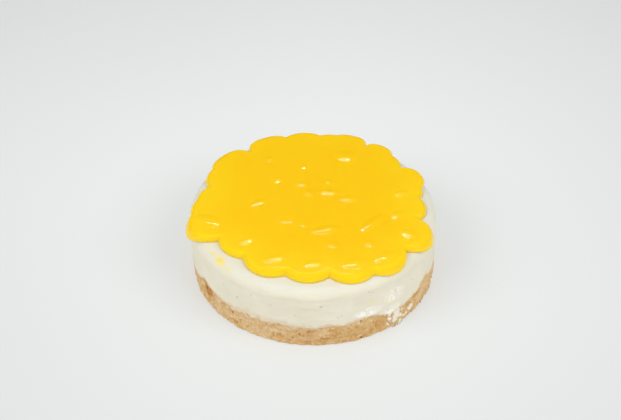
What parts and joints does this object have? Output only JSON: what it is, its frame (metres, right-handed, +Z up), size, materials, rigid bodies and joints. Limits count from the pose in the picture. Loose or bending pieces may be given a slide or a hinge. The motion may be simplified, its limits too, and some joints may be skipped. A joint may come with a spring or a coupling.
{
  "type": "small round cheesecake",
  "caption": "Round individual cheesecake: pressed biscuit base, pale cream cheese layer, and a glossy yellow fruit gel of merged drops with a scalloped edge.",
  "frame": {"origin": "middle of the flat underside, on the axis of the cream cheese layer's top rim", "axes": "+Z up; the side that faces the viewer in the picture is -Y, and its right is +X"},
  "size_m": [0.1011, 0.1002, 0.0326],
  "materials": {
    "biscuit_crumb": "pressed golden brown biscuit crumb, dry and rough",
    "cream_cheese": "ivory cream cheese, satin, smoothed by a ring",
    "fruit_gel": "glossy egg-yellow fruit gel"
  },
  "bodies": {
    "root": {"biscuit_base": "biscuit_crumb", "cheese_filling": "cream_cheese", "fruit_gel": "fruit_gel"}
  },
  "joints": []
}
